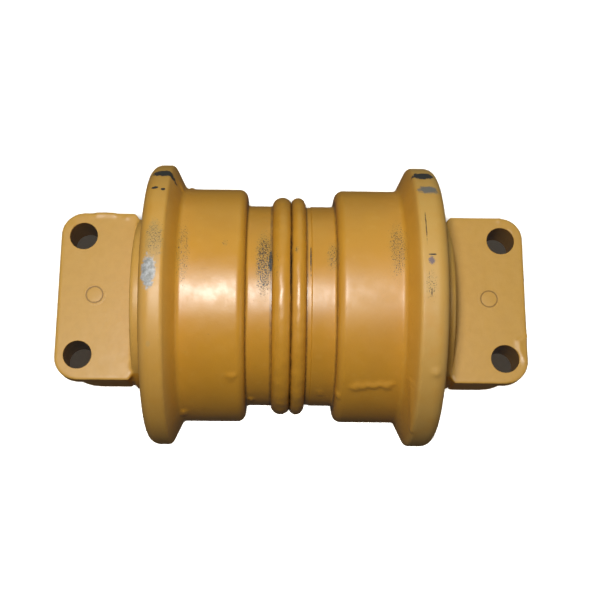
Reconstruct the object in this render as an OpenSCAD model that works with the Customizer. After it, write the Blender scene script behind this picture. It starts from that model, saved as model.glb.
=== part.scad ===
// Track roller: a flanged shell that turns on a fixed shaft between two bolted end collars.
// Millimetres. Origin at the middle of the spin axis, +Y along the spin axis,
// +Z up towards the mounting pads that meet the underside of the track frame.

/* [Shell] */
// Diameter over the flanges
flange_d = 216; // [210:1:222]
// Diameter of the treads that carry the link rails
tread_d = 180; // [176:1:184]
// Diameter of the narrow waist between the treads
waist_d = 155; // [150:1:160]
// Distance between the outer faces of the two flanges
shell_len = 216.8; // [215:0.2:219]
// Distance between the inner edges of the two treads
waist_len = 66.4; // [62:0.4:70]
// Position of the weld plane along the axis
weld_y = -1.5; // [-3:0.5:3]
// Height of the weld beads above the waist
bead_h = 6.9; // [4:0.1:8]

/* [Shaft and bearings] */
// Diameter of the two journals
journal_d = 65; // [62:0.5:66]
// Diameter of the shaft ends that the collars fit
shaft_end_d = 46; // [42:0.5:46]
// Wall of the bearing bushes
bush_wall = 5.1; // [4:0.1:5.5]

/* [Collars] */
// Height of the mounting pads above the spin axis
pad_z = 28; // [27:0.5:32]
// Width of a mounting pad across the spin axis
pad_w = 130.4; // [128:0.4:134]
// Overall length over the two collars
overall_len = 354.6; // [350:0.2:358]
// Diameter of the round collar disc beside the flange
disc_d = 132; // [130:0.5:134]
// Distance between bolt holes along the spin axis
bolt_pitch_y = 320; // [316:1:322]
// Distance between bolt holes across the spin axis
bolt_pitch_x = 92.8; // [90:0.4:94]
// Diameter of the bolt holes
bolt_hole_d = 21; // [20:0.5:22]
// Distance between the two locking pins
pin_pitch = 299; // [296:1:301]
// Diameter of the locking pins
pin_d = 12; // [10:0.5:12]

/* [Hidden] */

paint = "#d19a3a";
steel = "#a8a8ac";
bronze = "#b08d57";
rubber = "#222222";
round_n = 96;          // facets of a full turn
arc_n = 10;            // segments of a corner arc
eps = 0.01;            // overrun of a cut through a face

// radii
flange_r = flange_d / 2;
tread_r = tread_d / 2;
waist_r = waist_d / 2;
journal_r = journal_d / 2;
end_r = shaft_end_d / 2;
disc_r = disc_d / 2;
pin_r = pin_d / 2;

// fits
run_gap = 0.08;        // journal to bush, radial
seat_gap = 0.02;       // parts pressed or pushed together, radial
face_film = 0.04;      // between the two lapped seal faces
end_play = 0.4;        // each side of the thrust shoulder

// shell, along the axis from the middle outwards
shell_end = shell_len / 2;
oil_room_r = 43;       // chamber round the thrust shoulder
bush_in = 20;          // inner end of a bush
bush_out = 80;         // where the bush flange starts
bush_flange_t = 4;
bush_flange_r = 46;
bush_r = journal_r + run_gap + bush_wall;
shoulder_r = bush_r - 0.6;

// weld bead: half widths differ from side to side
bead_merge = 0.5;      // how far each bead runs into the weld plane
bead_a_left = 7.3;
bead_a_right = 5.8;
relief = 0.7;          // turned relief beside the right bead
relief_w = 3.4;

// tread step
foot_fillet = 2.5;
tread_corner = 6.5;

// flange outline
slope_foot = 81;       // foot of the flange's inner side, from the weld plane
root_fillet = 4.5;
flange_slope = 64;     // inner side, degrees from the axis
crest_round = 3.5;
outer_round = 9;

// face seal: s runs from the contact plane into the housing
seal_plane = 98;
seal_len = 10.5;
seal_in_r = 40;
seal_lip_r = 50.5;
seal_lip_w = 2.5;
seal_face_r = 44;      // inner edge of the lapped face
ramp_angle = 28;
ramp_r0 = 49.15;       // radius of the ring's ramp carried to s = 0
ramp_start = 4;
toric_minor = 4;
toric_s = 8.9;
toric_ease = 0.05;
mouth_s = 1.5;         // where a housing's ramp opens
floor_s = 13;          // housing floor

// collar
collar_floor = seal_plane + floor_s;
disc_in = shell_end + 1.6;
disc_out = 118.9;
lip_r = 62;            // dust lip that runs in the shell's recess
recess_r = lip_r + 1.5;
boss_r = 40;
ear_bottom = -2;        // underside of the bolt ears
ear_step = 12;         // pad plate that overhangs the rounder ear below
ear_round = 32;        // plan corner of that ear
collar_end = overall_len / 2;
plan_round = 17.5;
plan_chamfer = 3;
head_room_r = 19;      // room for a bolt head under an ear
pin_depth = 21;        // pin length from the pad down
edge = 0.8;            // small machined chamfers

// shaft
groove_y = 115;        // O-ring groove, inner edge
groove_w = 4.4;
groove_depth = 3;
gallery_r = 5;
gallery_end = 40;
feed_y = 50;           // cross hole that feeds the journal
feed_r = 3;
plug_r = 9;
plug_len = 12;
plug_sink = 2;
plug_hex_r = 5.2;
plug_hex_depth = 7;
shaft_chamfer = 2;
shaft_sink = 1.2;      // shaft ends lie just inside the collars
centre_r = 4;          // centre mark in the plain shaft end
gallery_mouth = collar_end - shaft_sink;

function ramp_r(s) = ramp_r0 - tan(ramp_angle) * s;
function house_r(s) = ramp_r(s) + 2 * toric_minor / cos(ramp_angle);
toric_major = ramp_r(toric_s) + toric_minor / cos(ramp_angle);

// points on a circular arc in the plane of an outline
function arc(centre, r, from, to) =
    [for (i = [0 : arc_n]) let (a = from + (to - from) * i / arc_n)
        [centre[0] + r * cos(a), centre[1] + r * sin(a)]];

// half an ellipse over the waist, cut off at the weld plane
function bead(weld, half_w) =
    let (centre = weld + half_w - bead_merge, first = acos((half_w - bead_merge) / half_w))
    [for (i = [0 : 2 * arc_n]) let (u = first + (180 - first) * i / (2 * arc_n))
        [waist_r + bead_h * sin(u), centre - half_w * cos(u)]];

// turns an outline of [radius, distance along the axis] about the spin axis
module turned(outline) {
    rotate([-90, 0, 0]) rotate_extrude($fn = round_n) polygon(outline);
}

// a plain round bar or hole along the spin axis
module bar_y(r, from, to) {
    translate([0, from, 0]) rotate([-90, 0, 0]) cylinder(r = r, h = to - from, $fn = round_n);
}

module at_left() {
    mirror([0, 1, 0]) children();
}

// ---- shell ----

// outline of the right-hand half: weld is its weld plane, half_w its bead, cut its relief depth
function shell_outline(weld, half_w, cut) =
    let (bead_end = weld + 2 * half_w - bead_merge,
         step_y = weld + waist_len / 2,
         root_y = weld + slope_foot - root_fillet * tan(flange_slope / 2),
         line_r = [tread_r + root_fillet * (1 - cos(flange_slope)),
                   flange_r - crest_round * (1 - cos(flange_slope))],
         line_y0 = root_y + root_fillet * sin(flange_slope),
         line_y1 = line_y0 + (line_r[1] - line_r[0]) / tan(flange_slope),
         round_y = line_y1 + crest_round * sin(flange_slope),
         outer = min(outer_round, shell_end - round_y - 0.1))
    concat(
        [[oil_room_r, weld]],
        bead(weld, half_w),
        cut > 0 ? [[waist_r - cut, bead_end + eps], [waist_r - cut, bead_end + relief_w],
                   [waist_r, bead_end + relief_w + cut]] : [],
        arc([waist_r + foot_fillet, step_y - foot_fillet], foot_fillet, 180, 90),
        arc([tread_r - tread_corner, step_y + tread_corner], tread_corner, -90, 0),
        arc([tread_r + root_fillet, root_y], root_fillet, 180, 180 - flange_slope),
        arc([flange_r - crest_round, round_y], crest_round, -flange_slope, 0),
        arc([flange_r - outer, shell_end - outer], outer, 0, 90),
        [[recess_r + edge, shell_end], [recess_r, shell_end - edge],
         [recess_r, seal_plane - mouth_s], [house_r(mouth_s), seal_plane - mouth_s],
         [house_r(floor_s), seal_plane - floor_s],
         [bush_flange_r + seat_gap, seal_plane - floor_s], [bush_flange_r + seat_gap, bush_out],
         [bush_r + seat_gap, bush_out], [bush_r + seat_gap, bush_in], [oil_room_r, bush_in]]);

module shell_half_right() {
    color(paint) turned(shell_outline(weld_y, bead_a_right, relief));
}

module shell_half_left() {
    color(paint) at_left() turned(shell_outline(-weld_y, bead_a_left, 0));
}

// ---- bearings ----

module bush() {
    groove_r = 1.6;
    color(bronze) difference() {
        union() {
            bar_y(bush_r, bush_in, bush_out + eps);
            bar_y(bush_flange_r, bush_out, bush_out + bush_flange_t);
        }
        bar_y(journal_r + run_gap, bush_in - 1, bush_out + bush_flange_t + 1);
        // three oil grooves along the bore
        for (a = [60 : 120 : 300]) rotate([0, a, 0]) translate([journal_r + run_gap, 0, 0])
            translate([0, bush_in + 4, 0]) rotate([-90, 0, 0])
                cylinder(r = groove_r, h = bush_out - bush_in - 8, $fn = 24);
    }
}

// ---- face seals: out_y is 1 for the ring in the collar, -1 for the ring in the shell ----

module seal_ring(out_y) {
    color(steel) turned([for (p = [
        [seal_face_r, 0], [seal_lip_r, 0], [seal_lip_r, seal_lip_w],
        [ramp_r(ramp_start), ramp_start], [ramp_r(seal_len), seal_len],
        [seal_in_r, seal_len], [seal_in_r, seal_lip_w]])
        [p[0], seal_plane + out_y * (p[1] + face_film / 2)]]);
}

module toric(out_y) {
    color(rubber) translate([0, seal_plane + out_y * toric_s, 0]) rotate([-90, 0, 0])
        rotate_extrude($fn = round_n) translate([toric_major, 0])
            circle(r = toric_minor - toric_ease, $fn = 32);
}

// ---- shaft ----

module shaft_bar() {
    turned([[0, -gallery_mouth], [end_r - shaft_chamfer, -gallery_mouth],
            [end_r, -gallery_mouth + shaft_chamfer], [end_r, -collar_floor],
            [journal_r, -collar_floor], [journal_r, -bush_in + end_play],
            [shoulder_r, -bush_in + end_play], [shoulder_r, bush_in - end_play],
            [journal_r, bush_in - end_play], [journal_r, collar_floor],
            [end_r, collar_floor], [end_r, gallery_mouth - shaft_chamfer],
            [end_r - shaft_chamfer, gallery_mouth], [0, gallery_mouth]]);
}

module o_ring_groove() {
    difference() {
        bar_y(end_r + 1, groove_y, groove_y + groove_w);
        bar_y(end_r - groove_depth, groove_y - 1, groove_y + groove_w + 1);
    }
}

module pin_hole(r) {
    translate([0, pin_pitch / 2, pad_z - pin_depth]) cylinder(r = r, h = pin_depth + 1, $fn = 48);
}

module shaft() {
    color(steel) difference() {
        shaft_bar();
        o_ring_groove();
        at_left() o_ring_groove();
        pin_hole(pin_r + seat_gap);
        at_left() pin_hole(pin_r + seat_gap);
        bar_y(gallery_r, gallery_end, gallery_mouth);
        bar_y(plug_r + seat_gap, gallery_mouth - plug_len - plug_sink, gallery_mouth + 1);
        translate([0, feed_y, 0]) cylinder(r = feed_r, h = journal_r + 1, $fn = 32);
        translate([0, -gallery_mouth, 0]) rotate([-90, 0, 0])
            cylinder(r1 = centre_r, r2 = 0, h = centre_r / tan(30), $fn = 48);
    }
}

module collar_o_ring() {
    minor = groove_depth / 2;
    color(rubber) translate([0, groove_y + groove_w / 2, 0]) rotate([-90, 0, 0])
        rotate_extrude($fn = round_n) translate([end_r - groove_depth / 2, 0])
            circle(r = minor - eps, $fn = 24);
}

module filler_plug() {
    outer = gallery_mouth - plug_sink;
    color(steel) difference() {
        bar_y(plug_r, outer - plug_len, outer);
        translate([0, outer - plug_hex_depth, 0]) rotate([-90, 0, 0])
            cylinder(r = plug_hex_r, h = plug_hex_depth + 1, $fn = 6);
    }
}

module locking_pin() {
    low = pad_z - pin_depth;
    color(paint) translate([0, pin_pitch / 2, low]) rotate_extrude($fn = 48)
        polygon([[0, 0], [pin_r - edge, 0], [pin_r, edge], [pin_r, pin_depth - edge],
                 [pin_r - edge, pin_depth], [0, pin_depth]]);
}

// ---- end collar ----

function ear_plan(corner) = concat(
    [[-pad_w / 2 + plan_chamfer, disc_out - eps], [pad_w / 2 - plan_chamfer, disc_out - eps],
     [pad_w / 2, disc_out + plan_chamfer]],
    arc([pad_w / 2 - corner, collar_end - corner], corner, 0, 90),
    arc([-pad_w / 2 + corner, collar_end - corner], corner, 90, 180),
    [[-pad_w / 2, disc_out + plan_chamfer]]);

// the round disc with its dust lip and the seal housing behind it
module collar_disc() {
    turned(concat(
        [[0, collar_floor], [house_r(floor_s), collar_floor],
         [house_r(mouth_s), seal_plane + mouth_s], [lip_r, seal_plane + mouth_s],
         [lip_r, disc_in], [disc_r, disc_in]],
        arc([disc_r - 2.5, disc_out - 2.5], 2.5, 0, 90),
        [[0, disc_out]]));
}

module bolt_place() {
    for (x = [-1, 1]) translate([x * bolt_pitch_x / 2, bolt_pitch_y / 2, 0]) children();
}

module collar() {
    color(paint) difference() {
        union() {
            collar_disc();
            translate([0, 0, pad_z - ear_step]) linear_extrude(ear_step) polygon(ear_plan(plan_round));
            translate([0, 0, ear_bottom]) linear_extrude(pad_z - ear_bottom) polygon(ear_plan(ear_round));
            bar_y(boss_r, disc_out - 1, collar_end);
        }
        // level the boss and free the bolt heads
        translate([-pad_w / 2, disc_out, pad_z]) cube([pad_w, collar_end, boss_r]);
        bolt_place() translate([0, 0, -disc_r - 1])
            cylinder(r = head_room_r, h = disc_r + 1 + ear_bottom, $fn = 64);
        bolt_place() translate([0, 0, ear_bottom - 1])
            cylinder(d = bolt_hole_d, h = pad_z - ear_bottom + 2, $fn = 64);
        bar_y(end_r + seat_gap, seal_plane, collar_end + 1);
        pin_hole(pin_r + seat_gap);
        translate([0, pin_pitch / 2, pad_z - edge])
            cylinder(r1 = pin_r + seat_gap, r2 = pin_r + edge, h = edge + eps, $fn = 48);
    }
}

// ---- the assembly, one node at a time ----

shaft();
at_left() collar();  // collar_left
collar();  // collar_right
at_left() locking_pin();  // locking_pin_left
locking_pin();  // locking_pin_right
filler_plug();
at_left() collar_o_ring();  // collar_o_ring_left
collar_o_ring();  // collar_o_ring_right
at_left() seal_ring(1);  // fixed_seal_ring_left
seal_ring(1);  // fixed_seal_ring_right
at_left() toric(1);  // fixed_toric_left
toric(1);  // fixed_toric_right
shell_half_left();
shell_half_right();
at_left() bush();  // bush_left
bush();  // bush_right
at_left() seal_ring(-1);  // turning_seal_ring_left
seal_ring(-1);  // turning_seal_ring_right
at_left() toric(-1);  // turning_toric_left
toric(-1);  // turning_toric_right
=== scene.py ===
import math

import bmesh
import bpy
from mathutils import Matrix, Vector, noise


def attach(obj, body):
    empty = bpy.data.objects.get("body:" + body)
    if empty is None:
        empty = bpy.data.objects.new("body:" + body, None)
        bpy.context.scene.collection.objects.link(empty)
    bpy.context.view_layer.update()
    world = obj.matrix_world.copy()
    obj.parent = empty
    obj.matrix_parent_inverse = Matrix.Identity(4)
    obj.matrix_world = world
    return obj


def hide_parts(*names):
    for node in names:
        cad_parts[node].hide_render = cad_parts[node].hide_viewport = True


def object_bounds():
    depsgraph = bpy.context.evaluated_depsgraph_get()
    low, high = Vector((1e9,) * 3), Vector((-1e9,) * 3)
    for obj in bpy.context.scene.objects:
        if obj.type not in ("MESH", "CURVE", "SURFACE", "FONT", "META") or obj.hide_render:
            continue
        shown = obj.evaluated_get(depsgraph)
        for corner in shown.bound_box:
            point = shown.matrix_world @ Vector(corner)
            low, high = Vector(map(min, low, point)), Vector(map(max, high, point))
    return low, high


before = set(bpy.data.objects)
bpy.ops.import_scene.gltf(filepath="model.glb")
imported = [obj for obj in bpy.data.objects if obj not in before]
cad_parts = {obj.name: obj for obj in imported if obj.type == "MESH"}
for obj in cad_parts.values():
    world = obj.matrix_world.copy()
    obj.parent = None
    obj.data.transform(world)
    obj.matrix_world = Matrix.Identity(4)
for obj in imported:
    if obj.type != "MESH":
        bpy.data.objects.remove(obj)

# %% [markdown]
# # A flanged track roller
# This object carries a crawler machine on its track. A turned steel shell with two flanges spins on
# a fixed shaft, and a cast collar at each end is bolted under the track frame. The whole roller was
# dipped and sprayed in thick ochre paint after it was put together. The lesson keeps the exact CAD
# parts for everything machined and hidden, and builds again, with softer edges, what the paint
# covers: the two shell halves, the two collars and the two locking pins.

MM = 0.001
cad_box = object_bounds()
print("size to stay inside, mm:", [[round(c / MM, 1) for c in corner] for corner in cad_box])

# %% [markdown]
# ## The camera
# The roller is seen from almost straight above its mounting pads, a little from the front, with a
# lens of about twice the normal length. The camera's turn is written as four plain rotations, so
# that each can be changed by itself: a quarter turn puts the spin axis across the picture, the tilt
# looks down on the roller, and the last two are the small errors of a camera held by hand.

# %% Camera
QUARTER_TURN, TILT, SWING, ROLL = 90.0, 15.025, -1.19, 0.647
DISTANCE = Vector((6.35, 4.77, 876.8)) * MM


def rotation(degrees, axis):
    return Matrix.Rotation(math.radians(degrees), 3, axis)


camera_turn = rotation(QUARTER_TURN, "Z") @ rotation(TILT, "X") @ rotation(SWING, "Y") @ rotation(ROLL, "Z")
lens = bpy.data.cameras.new("camera")
lens.lens = 67.28
lens.sensor_width = 36.0
lens.clip_start = 0.05
lens.clip_end = 50.0
camera = bpy.data.objects.new("camera", lens)
camera.matrix_world = Matrix.Translation(camera_turn @ DISTANCE) @ camera_turn.to_4x4()
bpy.context.scene.collection.objects.link(camera)
bpy.context.scene.camera = camera
print("camera at, m:", [round(c, 3) for c in camera.matrix_world.translation])

# %% [markdown]
# ## Turned pieces
# A lathe makes a shell half from one outline, and so does Blender's spin. The outline is a list of
# corners: a radius, a distance along the axis, and the radius that rounds the corner. A helper puts
# a tangent arc in each rounded corner. Long straight stretches are then split by
# subdivide_edges, because the paint's waves and runs need points to move.

# %% Outline corners to outline points
def corner_arc(before, here, after, radius):
    """The points of the arc that rounds the corner at here."""
    if radius == 0:
        return [here]
    towards_before = (before - here).normalized()
    towards_after = (after - here).normalized()
    opening = towards_before.angle(towards_after)
    reach = radius / math.tan(opening / 2)
    centre = here + (towards_before + towards_after).normalized() * (radius / math.sin(opening / 2))
    start = (here + towards_before * reach - centre).normalized()
    end = (here + towards_after * reach - centre).normalized()
    steps = max(2, round(math.degrees(math.pi - opening) / ARC_STEP))
    return [centre + start.slerp(end, i / steps) * radius for i in range(steps + 1)]


def rounded(corners):
    """Outline points for corners (radius, along, corner radius), all in mm."""
    places = [Vector((radius, along, 0)) for radius, along, _ in corners]
    count = len(corners)
    points = []
    for i, (_, _, radius) in enumerate(corners):
        points += corner_arc(places[i - 1], places[i], places[(i + 1) % count], radius)
    return points


ARC_STEP = 9.0      # degrees of a corner arc for one edge
square_test = rounded([(0, 0, 0), (10, 0, 2), (10, 10, 0), (0, 10, 0)])
print("a square with one round corner has", len(square_test), "points")

# %% Spinning an outline
SKIN_R = 64.0       # the paint only moves the surfaces further out than this, mm


def split_long_edges(bm, longest):
    """Splits the outer edges of an outline into pieces no longer than longest."""
    by_cuts = {}
    for edge in bm.edges:
        cuts = int(edge.calc_length() / longest)
        if cuts and max(vert.co.z for vert in edge.verts) > SKIN_R * MM:
            by_cuts.setdefault(cuts, []).append(edge)
    for cuts, edges in sorted(by_cuts.items()):
        bmesh.ops.subdivide_edges(bm, edges=edges, cuts=cuts)


SPIN_AXIS = Vector((0, 1, 0))
UP = Vector((0, 0, 1))


def spun(points, steps, longest=None, centre=(0, 0, 0), axis=SPIN_AXIS):
    """A ring or a solid from outline points (radius, along) in mm, spun about an axis through centre."""
    bm = bmesh.new()
    outward = UP if axis == SPIN_AXIS else Vector((1, 0, 0))
    middle = Vector(centre) * MM
    verts = [bm.verts.new(middle + (outward * p.x + axis * p.y) * MM) for p in points]
    for i, vert in enumerate(verts):
        on_axis = points[i - 1].x == 0 and points[i].x == 0
        if not on_axis:
            bm.edges.new((verts[i - 1], vert))
    if longest:
        split_long_edges(bm, longest * MM)
    bmesh.ops.spin(bm, geom=bm.verts[:] + bm.edges[:], cent=middle, axis=axis,
                   angle=2 * math.pi, steps=steps, use_merge=True)
    bmesh.ops.remove_doubles(bm, verts=bm.verts, dist=0.001 * MM)
    bmesh.ops.recalc_face_normals(bm, faces=bm.faces)
    return bm


def finished(bm, name, crease=38.0):
    """Makes the object: faces shade smoothly, and edges sharper than crease stay crisp."""
    for face in bm.faces:
        face.smooth = True
    for edge in bm.edges:
        if len(edge.link_faces) == 2:
            edge.smooth = edge.calc_face_angle() < math.radians(crease)
    mesh = bpy.data.meshes.new(name)
    bm.to_mesh(mesh)
    triangles = sum(len(face.verts) - 2 for face in bm.faces)
    bm.free()
    piece = bpy.data.objects.new(name, mesh)
    bpy.context.scene.collection.objects.link(piece)
    print(name, "has", triangles, "triangles")
    return piece

# %% [markdown]
# ## The shell halves
# Each half is a forging that is turned on a lathe: a waist in the middle, a tread that the track
# rails roll on, and a flange that keeps them there. The two halves are joined by friction welding,
# which squeezes out a bead on each side of the joint. The beads are half ellipses, so they come
# from the formula of an ellipse, and everything else is corners with radii. The inner corners
# follow the oil chamber, the seat of the bearing bush and the seal housing, so the ring is a
# closed solid with a real bore.

# %% The shell's dimensions, mm
TREAD_R, WAIST_R, FLANGE_R = 90.0, 77.5, 108.0
SHELL_END = 108.4
WELD = -1.5
STEP_FROM_WELD, FOOT_FROM_WELD = 33.2, 81.0
FLANGE_SLOPE = math.radians(64)
FLANGE_RISE = (FLANGE_R - TREAD_R) / math.tan(FLANGE_SLOPE)
STEP_FILLET, TREAD_ROUND, ROOT_FILLET = 2.5, 6.5, 4.5
CREST_ROUND, OUTER_ROUND, MOUTH_ROUND = 3.5, 9.0, 0.8
BEAD_HEIGHT, BEAD_MERGE = 6.9, 0.5
LEFT_BEAD, RIGHT_BEAD, RIGHT_RELIEF = 7.3, 5.8, 0.7     # half widths of the beads, depth of the relief
RELIEF_START, RELIEF_END, RELIEF_ROUND = 0.3, 3.4, 0.5
SEAL_PLANE, RAMP_ANGLE = 98.0, math.radians(28)
RAMP_R, TORIC_SPACE = 49.15, 8
MOUTH_R, MOUTH_DEPTH, HOUSING_DEPTH = 63.5, 1.5, 13
CHAMBER_R, CHAMBER_END = 43.0, 20.0
BUSH_R, BUSH_FLANGE_R, BUSH_END = 37.7, 46.02, 80.0


def housing_r(depth):
    """Radius of the seal housing's ramp, measured from the seal plane."""
    return RAMP_R - math.tan(RAMP_ANGLE) * depth + TORIC_SPACE / math.cos(RAMP_ANGLE)


def bead(weld, half_width):
    centre = weld + half_width - BEAD_MERGE
    first = math.acos((half_width - BEAD_MERGE) / half_width)
    steps = 18
    turn = [first + (math.pi - first) * i / steps for i in range(steps + 1)]
    return [Vector((WAIST_R + BEAD_HEIGHT * math.sin(u), centre - half_width * math.cos(u), 0))
            for u in turn]

# %% Outline of one half
def shell_outline(weld, bead_half, relief):
    """The right-hand half's outline. The left half is the same one mirrored."""
    bead_end = weld + 2 * bead_half - BEAD_MERGE
    step = weld + STEP_FROM_WELD
    foot = weld + FOOT_FROM_WELD
    crest = foot + FLANGE_RISE
    corners = [(CHAMBER_R, weld, 0)]
    corners += [(p.x, p.y, 0) for p in bead(weld, bead_half)]
    if relief:
        corners += [(WAIST_R - relief, bead_end + RELIEF_START, 0),
                    (WAIST_R - relief, bead_end + RELIEF_END, RELIEF_ROUND),
                    (WAIST_R, bead_end + RELIEF_END + relief, RELIEF_ROUND)]
    mouth, housing_floor = SEAL_PLANE - MOUTH_DEPTH, SEAL_PLANE - HOUSING_DEPTH
    corners += [(WAIST_R, step, STEP_FILLET), (TREAD_R, step, TREAD_ROUND), (TREAD_R, foot, ROOT_FILLET),
                (FLANGE_R, crest, CREST_ROUND), (FLANGE_R, SHELL_END, OUTER_ROUND),
                (MOUTH_R, SHELL_END, MOUTH_ROUND), (MOUTH_R, mouth, 0),
                (housing_r(MOUTH_DEPTH), mouth, 0), (housing_r(HOUSING_DEPTH), housing_floor, 0),
                (BUSH_FLANGE_R, housing_floor, 0), (BUSH_FLANGE_R, BUSH_END, 0), (BUSH_R, BUSH_END, 0),
                (BUSH_R, CHAMBER_END, 0), (CHAMBER_R, CHAMBER_END, 0)]
    return rounded(corners)


right_outline = shell_outline(WELD, RIGHT_BEAD, RIGHT_RELIEF)
left_outline = [Vector((p.x, -p.y, 0)) for p in shell_outline(-WELD, LEFT_BEAD, 0)]
print("outline points:", len(left_outline), "left,", len(right_outline), "right")

# %% [markdown]
# ## Paint that ran
# The paint went on thick, so it is never quite even: it waves, it gathers in small lumps, and it
# ran down before it set. These show in the outline and in every highlight, so they are real
# shape and not only bump. Each run is a path of places on the shell, a distance along the
# axis and an angle from the top, with a width and a height. A vertex rises by a bell curve of its
# distance to the path. The weld beads also wave a little, as squeezed-out steel does.

# %% Paint runs and lumps
RUNS = [
    # path of (along mm, angle degrees), width mm, height mm
    ([(-45.4, 48.6), (-43.6, 49.4), (-42.0, 48.4)], 2.0, 1.1),
    ([(-43.8, 50.8)], 1.6, 0.9),
    ([(-30.8, 78.5), (-30.4, 80.5)], 1.9, 1.2),
    ([(-79.8, 75.5), (-80.2, 79.0)], 2.1, 1.3),
    ([(33.4, 61.0), (33.2, 63.5)], 1.7, 1.0),
    ([(43.7, 55.0), (47.5, 53.4), (51.0, 55.2), (54.5, 53.0), (58.5, 54.6), (63.0, 52.8),
      (67.0, 54.0), (71.1, 52.6)], 2.1, 1.35),
    ([(46.0, 55.6)], 2.6, 1.4),
    ([(68.6, 54.4)], 2.8, 1.4),
    ([(84.0, 47.0)], 1.9, 0.7),
    ([(84.2, 49.0), (85.2, 56.0), (86.4, 64.0), (87.8, 73.0)], 1.3, 0.9),
    ([(-79.4, -83.0), (-79.0, -77.0)], 2.8, 1.9),
    ([(53.0, -83.0), (57.5, -82.0)], 3.0, 1.3),
    ([(-84.5, -58.0), (-84.0, -54.5)], 1.7, 1.0),
    ([(99.8, 39.7)], 2.9, 1.5),
    ([(20.5, 69.0), (21.0, 73.0)], 1.5, 0.7),
]


def path_distance(place, path):
    """Distance from a place to a path of places, in mm."""
    if len(path) == 1:
        return (place - path[0]).length
    nearest = 1e9
    for start, end in zip(path, path[1:]):
        line = end - start
        share = max(0.0, min(1.0, (place - start).dot(line) / line.length_squared))
        nearest = min(nearest, (place - start - line * share).length)
    return nearest


def flat_path(path, radius):
    """Places (along, angle) unrolled to mm on a cylinder of that radius."""
    return [Vector((along, math.radians(angle) * radius)) for along, angle in path]


def run_height(along, angle, radius):
    """How far the runs lift the paint at one place on the shell, mm."""
    height = 0.0
    for path, width, lift in RUNS:
        if abs(along - path[0][0]) > 40:
            continue
        place = Vector((along, math.radians(angle) * radius))
        distance = path_distance(place, flat_path(path, radius))
        if distance < 3 * width:
            height = max(height, lift * math.exp(-(distance / width) ** 2))
    return height


print("a run rises", round(run_height(51.0, 54.8, TREAD_R), 2), "mm at its middle")

# %% Moving the painted skin
def wave(place, size, seed):
    """Smooth noise from -1 to 1 with features of about size mm."""
    return noise.noise(place / (size * MM) + Vector((seed, 3.7 * seed, 0)))


def painted_skin(bm, seed):
    for vert in bm.verts:
        place = vert.co.copy()
        radius = math.hypot(place.x, place.z) / MM
        along = place.y / MM
        if radius < SKIN_R + 2:
            continue
        angle = math.degrees(math.atan2(place.x, place.z))
        depth = 0.06 * (wave(place, 14, seed) - 1) + 0.015 * (wave(place, 5, seed) - 1)
        if abs(along - WELD) < 14.5 and radius > WAIST_R + 0.6:
            depth += 0.32 * wave(place, 9, seed + 5) + 0.15 * wave(place, 4, seed + 9)
        depth += run_height(along, angle, radius)
        vert.co += vert.normal * depth * MM


FACETS = 384
LONGEST = 2.0
shells = {}
for side, outline, seed in (("left", left_outline, 2.0), ("right", right_outline, 11.0)):
    ring = spun(outline, FACETS, LONGEST)
    ring.normal_update()
    painted_skin(ring, seed)
    shell = finished(ring, "shell_" + side)
    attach(shell, "shell")
    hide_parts("shell_half_" + side)
    shells[side] = shell

# %% [markdown]
# ## The collars
# A collar is an iron casting: a round disc that covers the seal, a thick ear with two bolt holes,
# and a pad milled flat where it meets the track frame. Castings have soft edges and fillets
# everywhere, which would take many careful bevels. A voxel remesh of the CAD solid does it at once:
# it lays one even skin over the shape, and a few rounds of smoothing wear every edge to
# the small radius that a sand mould leaves. The pad keeps its height, since smoothing
# does nothing to a flat face. The holes are different: they are drilled after casting, so their
# rims are crisp. They are plugged before the remesh, and a Boolean drills them afterwards.

# %% Casting skin from a CAD solid
PAD_Z, EAR_BOTTOM = 28.0, -2.0
BOLT_X, BOLT_Y, BOLT_R = 46.4, 160.0, 10.5
PIN_Y, PIN_R = 149.5, 6.0


def solid_bar(bm, place, radius, low, high):
    """Adds a plain upright bar to bm, all in mm."""
    middle = Matrix.Translation(Vector((place[0], place[1], (low + high) / 2)) * MM)
    bmesh.ops.create_cone(bm, cap_ends=True, segments=48, radius1=radius * MM, radius2=radius * MM,
                          depth=(high - low) * MM, matrix=middle)


def new_object(bm, name):
    mesh = bpy.data.meshes.new(name)
    bm.to_mesh(mesh)
    bm.free()
    made = bpy.data.objects.new(name, mesh)
    bpy.context.scene.collection.objects.link(made)
    return made


def as_modified(obj):
    """A bmesh of obj with its modifiers worked out. The object itself is removed."""
    mesh = bpy.data.meshes.new_from_object(obj.evaluated_get(bpy.context.evaluated_depsgraph_get()))
    bm = bmesh.new()
    bm.from_mesh(mesh)
    bpy.data.objects.remove(obj)
    return bm


def casting(node, sign, voxel, rounds):
    """A bmesh of a collar's CAD node with its holes plugged, an even skin and worn edges."""
    solid = bmesh.new()
    solid.from_mesh(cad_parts[node].data)
    bmesh.ops.remove_doubles(solid, verts=solid.verts, dist=0.002 * MM)
    for sign_x in (-1, 1):
        solid_bar(solid, (sign_x * BOLT_X, sign * BOLT_Y), BOLT_R + 0.6, EAR_BOTTOM, PAD_Z)
    solid_bar(solid, (0, sign * PIN_Y), PIN_R + 1.2, PAD_Z - 3, PAD_Z)
    blank = new_object(solid, "blank")
    skin = blank.modifiers.new("skin", "REMESH")
    skin.mode = "VOXEL"
    skin.voxel_size = voxel * MM
    bm = as_modified(blank)
    for _ in range(rounds):
        bmesh.ops.smooth_vert(bm, verts=bm.verts, factor=0.5,
                              use_axis_x=True, use_axis_y=True, use_axis_z=True)
    bm.normal_update()
    return bm

# %% Drilling the bolt holes
BREAK = 0.35        # a file takes this much off the rim


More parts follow.
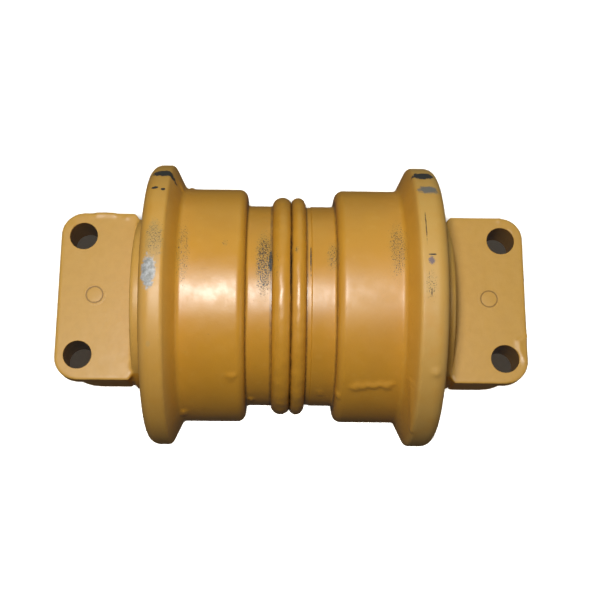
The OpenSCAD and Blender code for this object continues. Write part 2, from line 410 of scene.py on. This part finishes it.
def drilled(bm, sign):
    """Drills the two bolt holes of one collar, with a broken edge at the pad."""
    blank = new_object(bm, "blank")
    outline = [Vector(p) for p in ((0, EAR_BOTTOM - 6), (BOLT_R, EAR_BOTTOM - 6), (BOLT_R, PAD_Z - BREAK),
                                   (BOLT_R + BREAK, PAD_Z), (BOLT_R + BREAK + 2, PAD_Z + 2),
                                   (0, PAD_Z + 2))]
    drills = []
    for sign_x in (-1, 1):
        drill = new_object(spun(outline, 72, centre=(sign_x * BOLT_X, sign * BOLT_Y, 0), axis=UP), "drill")
        cut = blank.modifiers.new("drill", "BOOLEAN")
        cut.operation = "DIFFERENCE"
        cut.solver = "EXACT"
        cut.object = drill
        drills.append(drill)
    result = as_modified(blank)
    for drill in drills:
        bpy.data.objects.remove(drill)
    return result

# %% Lumps of paint on the pads and the two collars
PAD_LUMPS = {
    # path of (across mm, along mm), width mm, height mm, on the left and right pads
    "left": [([(-64.0, -151.0), (-64.6, -145.0), (-64.0, -138.0)], 1.8, 0.9),
             ([(-54.6, -168.5)], 2.2, 0.7),
             ([(-62.0, -128.0)], 2.0, 0.6)],
    "right": [([(28.0, 178.0), (33.0, 171.0), (40.0, 171.5), (48.0, 175.0)], 2.3, 0.9),
              ([(-55.0, 169.5)], 2.6, 0.6),
              ([(-63.0, 160.0)], 1.8, 0.7)],
}


def pad_lift(place, side):
    """How far the paint stands up at a place on a pad, mm."""
    height = 0.0
    for path, width, lift in PAD_LUMPS[side]:
        distance = path_distance(place, [Vector(p) for p in path])
        if distance < 3 * width:
            height = max(height, lift * math.exp(-(distance / width) ** 2))
    return height


def inside_box(place):
    """The place moved to the nearest point of the CAD box."""
    return Vector([max(low, min(high, c)) for low, c, high in zip(cad_box[0], place, cad_box[1])])


collars = {}
for side, sign, seed in (("left", -1, 21.0), ("right", 1, 33.0)):
    skin = casting("collar_" + side, sign, 1.05, 2)
    for vert in skin.verts:
        place = vert.co.copy()
        depth = 0.06 * (wave(place, 11, seed) - 1) + 0.03 * (wave(place, 4, seed) - 1)
        if place.z > (PAD_Z - 4) * MM and abs(place.y) > 120 * MM:
            depth = 0.35 * depth + pad_lift(Vector((place.x, place.y)) / MM, side)
        vert.co = inside_box(place + vert.normal * depth * MM)
    collar = finished(drilled(skin, sign), "collar_casting_" + side, crease=42.0)
    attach(collar, "mount")
    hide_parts("collar_" + side)
    collars[side] = collar

# %% [markdown]
# ## The locking pins
# One pin in each pad locks the collar to the shaft. It is driven flush and painted over, so all
# that shows is a fine circle. Paint sinks a little into the gap round the pin, and the piece is
# the pin's top with that shallow groove, spun from a short outline.

# %% Pin tops
pin_corners = [(0.0, 27.0, 0), (8.6, 27.0, 0), (8.6, 28.0, 0), (8.3, 28.03, 0),
               (PIN_R + 0.85, 28.04, 0.3), (PIN_R + 0.25, 27.3, 0.15), (PIN_R - 0.4, 28.06, 0.3),
               (0.0, 28.08, 0)]


def pin_top(side, sign):
    bm = spun(rounded(pin_corners), 64, centre=(0, sign * PIN_Y, 0), axis=UP)
    pin = finished(bm, "pin_top_" + side)
    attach(pin, "mount")
    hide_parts("locking_pin_" + side)
    return pin


pins = [pin_top("left", -1), pin_top("right", 1)]

# %% [markdown]
# ## Finishes as Python sums
# A material is a small program that Blender runs at each point of a surface. Writing it as sums is
# easier to read than a picture of wires, so one class stands for a wire and adds a Math node for
# each sign, and another makes any other node.

# %% Wires and finishes
class Wire:
    """One output of a shader node. Sums and products of wires add Math nodes."""

    def __init__(self, finish, socket):
        self.finish = finish
        self.socket = socket

    def _sum(self, operation, first, second):
        return self.finish.node("ShaderNodeMath", {"operation": operation}, {0: first, 1: second})

    def __add__(self, other):
        return self._sum("ADD", self, other)

    def __sub__(self, other):
        return self._sum("SUBTRACT", self, other)

    def __mul__(self, other):
        return self._sum("MULTIPLY", self, other)

    def __rsub__(self, other):
        return self._sum("SUBTRACT", other, self)

    __radd__ = __add__
    __rmul__ = __mul__

    def most(self, other):
        return self._sum("MAXIMUM", self, other)



class Finish:
    """A material with one Principled shader, built by sums."""

    def __init__(self, name):
        self.material = bpy.data.materials.new(name)
        self.material.use_nodes = True
        self.tree = self.material.node_tree
        self.shader = self.tree.nodes["Principled BSDF"]
        self.place = self.node("ShaderNodeTexCoord", out="Object")

    def node(self, kind, settings=None, sockets=None, out=0):
        made = self.tree.nodes.new(kind)
        for key, value in (settings or {}).items():
            setattr(made, key, value)
        for key, value in (sockets or {}).items():
            self.feed(made.inputs[key], value)
        return Wire(self, made.outputs[out])

    def feed(self, socket, value):
        if isinstance(value, Wire):
            self.tree.links.new(value.socket, socket)
        else:
            socket.default_value = value

    def set(self, **sockets):
        for key, value in sockets.items():
            self.feed(self.shader.inputs[key.replace("_", " ")], value)

    def grain(self, size, detail=2.0, rough=0.5, where=None, shift=0.0):
        """Noise from 0 to 1 with features of about size mm."""
        place = where or self.place
        if shift:
            place = self.node("ShaderNodeVectorMath", {"operation": "ADD"},
                              {0: place, 1: (shift, 0, shift)})
        return self.node("ShaderNodeTexNoise", None,
                         {"Vector": place, "Scale": 1 / (size * MM), "Detail": detail, "Roughness": rough})

    def ramp(self, value, low, high, out_low=0.0, out_high=1.0):
        """Goes smoothly from out_low to out_high as value goes from low to high."""
        return self.node("ShaderNodeMapRange", {"interpolation_type": "SMOOTHSTEP"},
                         {0: value, 1: low, 2: high, 3: out_low, 4: out_high})

    def mix(self, share, first, second):
        """The first colour where share is 0, the second where it is 1."""
        return self.node("ShaderNodeMix", {"data_type": "RGBA"}, {0: share, 6: first, 7: second}, out=2)


print("finishes are built with", len([m for m in dir(Finish) if not m.startswith("__")]), "tools")

# %% Places on the roller for a finish to read
def colour(red, green, blue):
    return (red, green, blue, 1.0)


def unrolled(finish):
    """A wire of (along mm, angle degrees, 0) on the turned shell, and one of the radius in mm."""
    parts = finish.node("ShaderNodeSeparateXYZ", None, {0: finish.place})
    nodes = parts.socket.node.outputs
    x, y, z = (Wire(finish, nodes[i]) for i in range(3))
    angle = finish.node("ShaderNodeMath", {"operation": "ARCTAN2"}, {0: x, 1: z}) * math.degrees(1)
    along = y * (1 / MM)
    flat = finish.node("ShaderNodeCombineXYZ", None, {0: along, 1: angle})
    squares = x * x + z * z
    radius = finish.node("ShaderNodeMath", {"operation": "SQRT"}, {0: squares}) * (1 / MM)
    return flat, along, angle, radius


def patch(finish, flat, span, ragged, soft=0.25):
    """1 inside an oval patch (along from, along to, angle from, angle to), 0 outside."""
    low_y, high_y, low_a, high_a = span
    middle = ((low_y + high_y) / 2, (low_a + high_a) / 2, 0)
    scale = (2 / (high_y - low_y), 2 / (high_a - low_a), 0)
    away = finish.node("ShaderNodeVectorMath", {"operation": "SUBTRACT"}, {0: flat, 1: middle})
    away = finish.node("ShaderNodeVectorMath", {"operation": "MULTIPLY"}, {0: away, 1: scale})
    far = finish.node("ShaderNodeVectorMath", {"operation": "LENGTH"}, {0: away}, out="Value")
    return finish.ramp(far + ragged, 1.0 - soft, 1.0 + soft, 1.0, 0.0)

# %% [markdown]
# ## Ochre paint on the shell
# Machine paint is opaque and slightly glossy, with a skin like orange peel. It is painted browner
# in the corners as painted shade, and paler on the flanges as painted sheen. Rubbing against other
# rollers in a crate took it off in a few places: at the flange crests it is worn to black scale or to
# bare steel, and clouds of fine dark specks show where it never covered the pits. Each mark is an
# oval patch in unrolled places, along the axis and round it, and noise makes its edge ragged.

# %% Marks in the shell's paint
BLACK_CHIPS = [(-104.2, -87.3, -52.5, -46.5), (-103.0, -98.0, -37.6, -36.0), (-96.0, -93.0, -36.4, -34.8),
               (87.9, 103.5, -54.0, -46.5), (93.2, 98.6, -5.7, -5.1)]
GREY_CHIPS = [(90.0, 104.3, -40.2, -35.2)]
PRIMER_CHIPS = [(93.0, 97.2, -4.4, -1.6)]
BARE_PATCHES = [(-105.4, -95.8, -3.8, 8.8)]
THIN_PATCHES = [(-104.5, -92.0, -18.0, 1.0), (-101.6, -98.4, 28.0, 30.2)]
SCRATCHES = [(92.1, 92.9, -22.6, -11.6), (94.5, 95.3, 7.6, 10.4), (11.9, 13.0, -21.0, -3.5),
             (-2.6, -1.4, -24.0, 10.0)]
CLOUDS = [
    # span, share of the cloud that is specked
    ((-27.5, -15.0, -29.0, 10.0), 0.55), ((-18.2, -14.9, -17.0, -2.0), 0.85),
    ((24.0, 33.5, -22.0, -4.0), 0.42), ((68.0, 80.5, -28.0, 2.0), 0.42),
    ((-84.0, -74.0, -27.0, 8.0), 0.38), ((-51.0, -47.0, -17.0, -13.0), 0.35),
    ((-104.0, -91.0, -19.0, -3.0), 0.40), ((90.0, 99.0, 0.0, 12.0), 0.32),
    ((1.0, 3.5, -16.5, -12.5), 0.45), ((-16.0, -10.0, -20.0, 5.0), 0.25),
]
OCHRE, DEEP_OCHRE, BROWN = (0.60, 0.280, 0.018), (0.53, 0.238, 0.013), (0.17, 0.075, 0.010)
# a paler ochre, painted on the flanges as painted sheen
SHEEN_OCHRE = (0.60, 0.375, 0.095)
BLACK_SCALE, BARE_STEEL = (0.010, 0.010, 0.009), (0.56, 0.57, 0.57)
GREY_PRIMER, VIOLET_PRIMER = (0.12, 0.13, 0.13), (0.10, 0.08, 0.13)

# %% Shell paint
def strongest(wires):
    result = wires[0]
    for wire in wires[1:]:
        result = result.most(wire)
    return result


def shell_paint():
    paint = Finish("shell_paint")
    flat, along, angle, radius = unrolled(paint)
    edge_grain = paint.grain(2.6, 4.0, 0.6)
    ragged = (edge_grain - 0.5) * 1.5
    specks = paint.grain(0.8, 3.0, 0.7, shift=0.3)
    hue = paint.ramp(paint.grain(26, 3.0), 0.35, 0.68)
    base = paint.mix(hue * 0.45, colour(*OCHRE), colour(*DEEP_OCHRE))
    pale_spots = paint.ramp(paint.grain(7, 3.0, shift=0.7), 0.55, 0.8)
    base = paint.mix(pale_spots * 0.18, base, colour(0.66, 0.37, 0.07))

    # painted sheen and light: the flanges are painted paler, more on the right
    second = paint.ramp(along, 85.0, 90.0) + paint.ramp(along, -91.0, -86.0, 0.6, 0.0)
    second = second * paint.ramp(paint.grain(14, 3.0, shift=2.7), 0.2, 0.6, 0.55, 1.0)
    base = paint.mix(second * 0.6, base, colour(*SHEEN_OCHRE))

    # painted shade: brown at the step foot, bead feet, relief and the weld groove, where shade falls in the
    # corners
    painted_crevice_shades = []
    for centre, half in ((-34.7, 1.2), (31.7, 1.2), (-1.5, 1.5), (-16.1, 1.1), (9.9, 0.9)):
        painted_crevice_shades.append(paint.ramp(paint.node("ShaderNodeMath", {"operation": "ABSOLUTE"},
                                              {0: along - centre}), half * 0.3, half * 1.4, 1.0, 0.0))
    low = paint.ramp(radius, 81.0, 83.5, 1.0, 0.0)
    painted_crevice_shade = strongest(painted_crevice_shades) * low * paint.ramp(paint.grain(5, 3.0, shift=1.3), 0.3, 0.62, 0.6, 1.0)
    base = paint.mix(painted_crevice_shade * 0.75, base, colour(*BROWN))

    clouds = []
    for span, share in CLOUDS:
        cover = patch(paint, flat, span, (edge_grain - 0.5) * 0.7, soft=0.55)
        clouds.append(cover * share)
    cloud = strongest(clouds)
    base = paint.mix(paint.ramp(cloud, 0.05, 0.6) * 0.26, base, colour(0.36, 0.27, 0.075))
    specked = paint.ramp(specks + cloud * 0.40, 0.71, 0.75)
    tint = paint.mix(paint.ramp(paint.grain(4, 2.0, shift=2.1), 0.4, 0.6), colour(0.008, 0.007, 0.006),
                     colour(0.03, 0.026, 0.018))
    base = paint.mix(specked, base, tint)

    thin = strongest([patch(paint, flat, s, ragged) for s in THIN_PATCHES])
    base = paint.mix(thin * 0.2, base, colour(0.30, 0.26, 0.13))
    grey = strongest([patch(paint, flat, s, ragged * 0.7) for s in GREY_CHIPS])
    base = paint.mix(grey * 0.9, base, colour(*GREY_PRIMER))
    torn = ragged * 0.8 + (specks - 0.5) * 2.4
    violet = strongest([patch(paint, flat, s, torn) for s in PRIMER_CHIPS])
    base = paint.mix(violet * 0.85, base, colour(*VIOLET_PRIMER))
    bare = strongest([patch(paint, flat, s, ragged * 0.8, soft=0.18) for s in BARE_PATCHES])
    bare_tone = paint.mix(paint.ramp(paint.grain(3, 4.0, 0.7, shift=1.9), 0.35, 0.65),
                          colour(0.30, 0.30, 0.28), colour(*BARE_STEEL))
    base = paint.mix(bare, base, bare_tone)
    black = strongest([patch(paint, flat, s, ragged * 0.7, soft=0.12) for s in BLACK_CHIPS])
    scratch = strongest([patch(paint, flat, s, ragged * 1.3, soft=0.3) for s in SCRATCHES])
    black = black.most(scratch * 0.85)
    base = paint.mix(black, base, colour(*BLACK_SCALE))

    chipped = strongest([black, bare, grey * 0.8, specked * 0.6])
    rough = paint.ramp(paint.grain(9, 3.0, shift=0.9), 0.3, 0.7, -0.04, 0.04)
    rough = rough + paint.ramp(along, 0, 60, 0.42, 0.49) + chipped * 0.2
    from_weld = paint.node("ShaderNodeMath", {"operation": "ABSOLUTE"}, {0: along})
    rough = rough + paint.ramp(from_weld, 80, 90, 0.0, 0.11)
    peel = (paint.grain(1.3, 2.0) * 0.5 + paint.grain(4.5, 2.0, shift=1.1) * 0.35) - chipped * 0.5
    normal = paint.node("ShaderNodeBump", None, {"Strength": 1.0, "Distance": 0.06 * MM, "Height": peel})
    paint.set(Base_Color=base, Roughness=rough, Normal=normal, Metallic=bare * 0.35)
    paint.set(IOR=1.6, Specular_IOR_Level=0.75)
    return paint.material


# %% [markdown]
# ## Paint on the collars, and the bare metals
# The collars wear the same paint, duller on the milled pads, and the pad tops are painted a shade
# lighter as painted sheen. The walls of the bolt holes are painted dark brown as painted shade.
# The shaft is ground steel with fine rings round it; the plug is blued steel, the seal rings are grey
# iron, the bushes are bronze, and the toric rings are black rubber. They hide inside the roller, and
# each is still given its own grain.

# %% Collar paint
def from_centre(finish, outputs, x, y):
    """Distance in mm from an upright line at (x, y)."""
    across = Wire(finish, outputs[0]) * (1 / MM) - x
    along = Wire(finish, outputs[1]) * (1 / MM) - y
    return finish.node("ShaderNodeMath", {"operation": "SQRT"}, {0: across * across + along * along})


def bore_wall_shade(finish, outputs, x, y):
    """1 on the wall of a bolt hole, which is painted dark as painted shade."""
    return finish.ramp(from_centre(finish, outputs, x, y), BOLT_R + 0.02, BOLT_R + 0.3, 1.0, 0.0)


def round_gap(finish, outputs, x, y, radius):
    """1 in the thin gap round a pin of that radius, where dirt sits."""
    beside = from_centre(finish, outputs, x, y) - radius
    width = finish.node("ShaderNodeMath", {"operation": "ABSOLUTE"}, {0: beside})
    return finish.ramp(width, 0.25, 0.75, 1.0, 0.0)


def pad_paint():
    paint = Finish("pad_paint")
    parts = paint.node("ShaderNodeSeparateXYZ", None, {0: paint.place})
    height = Wire(paint, parts.socket.node.outputs[2]) * (1 / MM)
    on_pad = paint.ramp(height, PAD_Z - 1.6, PAD_Z - 0.5)
    hue = paint.ramp(paint.grain(22, 3.0), 0.35, 0.68)
    base = paint.mix(hue * 0.35, colour(*OCHRE), colour(*DEEP_OCHRE))
    # painted sheen: the pad tops are painted a paler ochre than the rest of the collar
    pad = paint.mix(paint.ramp(paint.grain(5, 3.0, shift=0.4), 0.3, 0.75) * 0.5, colour(0.62, 0.352, 0.072),
                    colour(0.56, 0.310, 0.060))
    base = paint.mix(on_pad * 0.9, base, pad)
    specks = paint.ramp(paint.grain(1.4, 3.0, 0.7, shift=0.8), 0.73, 0.77)
    base = paint.mix(specks * 0.6, base, colour(*BROWN))
    gaps = strongest([round_gap(paint, parts.socket.node.outputs, 0, sy * PIN_Y, PIN_R + 0.25)
                      for sy in (-1, 1)])
    base = paint.mix(gaps * on_pad * 0.7, base, colour(*BROWN))
    # painted shade: the walls of the bolt holes are painted dark brown
    bore = strongest([bore_wall_shade(paint, parts.socket.node.outputs, sx * BOLT_X, sy * BOLT_Y)
                      for sx in (-1, 1) for sy in (-1, 1)])
    base = paint.mix(bore * 0.95, base, colour(0.22, 0.115, 0.030))
    rough = paint.ramp(paint.grain(8, 3.0, shift=0.9), 0.3, 0.7, 0.40, 0.48)
    peel = paint.grain(1.2, 2.0) * 0.6 + paint.grain(4.0, 2.0, shift=1.1)
    normal = paint.node("ShaderNodeBump", None, {"Strength": 1.0, "Distance": 0.06 * MM, "Height": peel})
    paint.set(Base_Color=base, Roughness=rough, Normal=normal)
    paint.set(IOR=1.5, Specular_IOR_Level=0.6)
    return paint.material


# %% Metals and rubber
def turned_metal(name, tone, dark, rough, metallic, ring=0.35, painted_from=None):
    """Metal with fine lathe rings round the spin axis, and paint on the ends that were sprayed."""
    metal = Finish(name)
    stretched = metal.node("ShaderNodeMapping", None, {0: metal.place, "Scale": (0.05, 1.0, 0.05)})
    rings = metal.grain(ring, 2.0, where=stretched)
    clouded = metal.ramp(metal.grain(12, 3.0), 0.3, 0.7)
    base = metal.mix(clouded * 0.6 + rings * 0.3, colour(*tone), colour(*dark))
    shine = metallic
    if painted_from:
        parts = metal.node("ShaderNodeSeparateXYZ", None, {0: metal.place})
        along = metal.node("ShaderNodeMath", {"operation": "ABSOLUTE"},
                           {0: Wire(metal, parts.socket.node.outputs[1])}) * (1 / MM)
        covered = metal.ramp(along, painted_from - 0.4, painted_from + 0.4)
        base = metal.mix(covered, base, colour(*OCHRE))
        shine = metallic - covered * metallic
    metal.set(Base_Color=base, Metallic=shine, Roughness=metal.ramp(rings, 0.2, 0.8, rough, rough + 0.14))
    metal.set(Normal=metal.node("ShaderNodeBump", None,
                                {"Strength": 0.6, "Distance": 0.02 * MM, "Height": rings}))
    return metal.material


def nitrile():
    rubber = Finish("nitrile_rubber")
    dust = rubber.ramp(rubber.grain(6, 4.0), 0.45, 0.75)
    rubber.set(Base_Color=rubber.mix(dust * 0.4, colour(0.016, 0.016, 0.017), colour(0.06, 0.055, 0.05)))
    rubber.set(Roughness=rubber.ramp(rubber.grain(3, 3.0), 0.3, 0.7, 0.42, 0.6))
    rubber.set(Normal=rubber.node("ShaderNodeBump", None,
                                  {"Strength": 0.5, "Distance": 0.03 * MM, "Height": rubber.grain(0.8)}))
    return rubber.material


def dress(obj, material):
    obj.data.materials.clear()
    obj.data.materials.append(material)


shell_coat, collar_coat = shell_paint(), pad_paint()
for shell in shells.values():
    dress(shell, shell_coat)
for piece in list(collars.values()) + pins:
    dress(piece, collar_coat)
ground = turned_metal("ground_steel", (0.55, 0.54, 0.52), (0.40, 0.39, 0.38), 0.24, 1.0, painted_from=174.0)
METALS = {
    "shaft": ground,
    "filler_plug": turned_metal("plug_steel", (0.16, 0.15, 0.15), (0.09, 0.09, 0.10), 0.34, 1.0,
                                painted_from=174.0),
    "seal": turned_metal("lapped_iron", (0.33, 0.33, 0.34), (0.22, 0.22, 0.23), 0.36, 1.0),
    "bush": turned_metal("bearing_bronze", (0.62, 0.42, 0.20), (0.46, 0.29, 0.13), 0.3, 1.0),
}
RUBBER = nitrile()
for name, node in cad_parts.items():
    if node.hide_render:
        continue
    kind = next((key for key in METALS if key in name), None)
    if "ring" in name and "seal" not in name or "toric" in name:
        kind = None
    material = METALS[kind] if kind else RUBBER
    for slot in node.material_slots:
        slot.material = material
    print(name, "wears", material.name)

# %% [markdown]
# ## Floor and light
# A pale matt floor lies under the flanges. One bright soft lamp hangs almost straight above the
# roller and makes the satin band along the treads. Everything else is faint, as in a big dim hall:
# a weak sky and three wide panels that keep the back and the ends readable. The floor has a lamp of
# its own, which stands at the camera and turns the paper white, so the shadow hides behind the
# roller. A small disc under each bolt hole keeps that lamp from shining up through the hole. The
# discs are part of the lighting, and the camera doesn't see them.

# %% Floor
bm = bmesh.new()
bmesh.ops.create_grid(bm, x_segments=1, y_segments=1, size=6.0)
bmesh.ops.translate(bm, verts=bm.verts, vec=(0, 0, cad_box[0].z))
floor = finished(bm, "floor")
ground_finish = Finish("floor_paper")
middle_distance = ground_finish.node("ShaderNodeVectorMath", {"operation": "LENGTH"},
                                     {0: ground_finish.place}, out="Value")
glow = ground_finish.ramp(middle_distance, 0.4, 1.1)
ground_finish.set(Base_Color=colour(0.82, 0.79, 0.73), Roughness=0.95, Specular_IOR_Level=0.0)
ground_finish.set(Emission_Color=ground_finish.mix(glow, colour(0, 0, 0), colour(0.9, 0.9, 0.9)),
                  Emission_Strength=1.0)
dress(floor, ground_finish.material)
floor.visible_diffuse = False
floor.visible_glossy = False

# %% Lamps
def lamp(name, place, aim, size, power, warmth=(1.0, 1.0, 1.0)):
    data = bpy.data.lights.new(name, "AREA")
    data.shape = "DISK"
    data.size = size
    data.energy = power
    data.color = warmth
    light = bpy.data.objects.new(name, data)
    light.location = place
    light.rotation_euler = (Vector(aim) - Vector(place)).to_track_quat("-Z", "Y").to_euler()
    bpy.context.scene.collection.objects.link(light)
    return light


lamp("key_lamp", (0.04, -0.08, 0.90), (0, 0, 0), 0.16, 6.2)
lamp("far_panel", (-2.2, 0.3, 0.8), (0, 0, 0), 2.6, 8.5, (0.80, 1.0, 0.72))
lamp("left_panel", (0.2, -1.7, 0.4), (0, 0, 0), 1.0, 2.5)
lamp("right_panel", (0.2, 1.7, 0.4), (0, 0, 0), 1.0, 2.5)

# %% A lamp for the floor alone, and flags under the bolt holes
all_but_floor = bpy.data.collections.new("all_but_floor")
all_but_floor.objects.link(floor)
all_but_floor.collection_objects[0].light_linking.link_state = "EXCLUDE"
for light in [obj for obj in bpy.context.scene.objects if obj.type == "LIGHT"]:
    light.light_linking.receiver_collection = all_but_floor
floor_lamp = lamp("floor_lamp", camera.matrix_world.translation, (0, 0, 0), 0.08, 32.0)
only_floor = bpy.data.collections.new("only_floor")
only_floor.objects.link(floor)
floor_lamp.light_linking.receiver_collection = only_floor
for sign_x in (-1, 1):
    for sign_y in (-1, 1):
        shade = bmesh.new()
        solid_bar(shade, (sign_x * BOLT_X, sign_y * BOLT_Y), 15.0, EAR_BOTTOM - 2.5, EAR_BOTTOM - 1.5)
        flag = new_object(shade, "flag_%d" % (2 + sign_x + 2 * sign_y))
        for ray in ("camera", "diffuse", "glossy"):
            setattr(flag, "visible_" + ray, False)

# %% Sky
world = bpy.data.worlds.new("sky")
bpy.context.scene.world = world
world.use_nodes = True
sky = world.node_tree
dim = sky.nodes["Background"]
dim.inputs["Color"].default_value = colour(1.0, 0.97, 0.93)
dim.inputs["Strength"].default_value = 0.07
pale = sky.nodes.new("ShaderNodeBackground")
pale.inputs["Color"].default_value = colour(0.97, 0.97, 0.97)
rays = sky.nodes.new("ShaderNodeLightPath")
either = sky.nodes.new("ShaderNodeMixShader")
sky.links.new(rays.outputs["Is Camera Ray"], either.inputs[0])
sky.links.new(dim.outputs[0], either.inputs[1])
sky.links.new(pale.outputs[0], either.inputs[2])
sky.links.new(either.outputs[0], sky.nodes["World Output"].inputs["Surface"])
bpy.context.scene.view_settings.view_transform = "Standard"
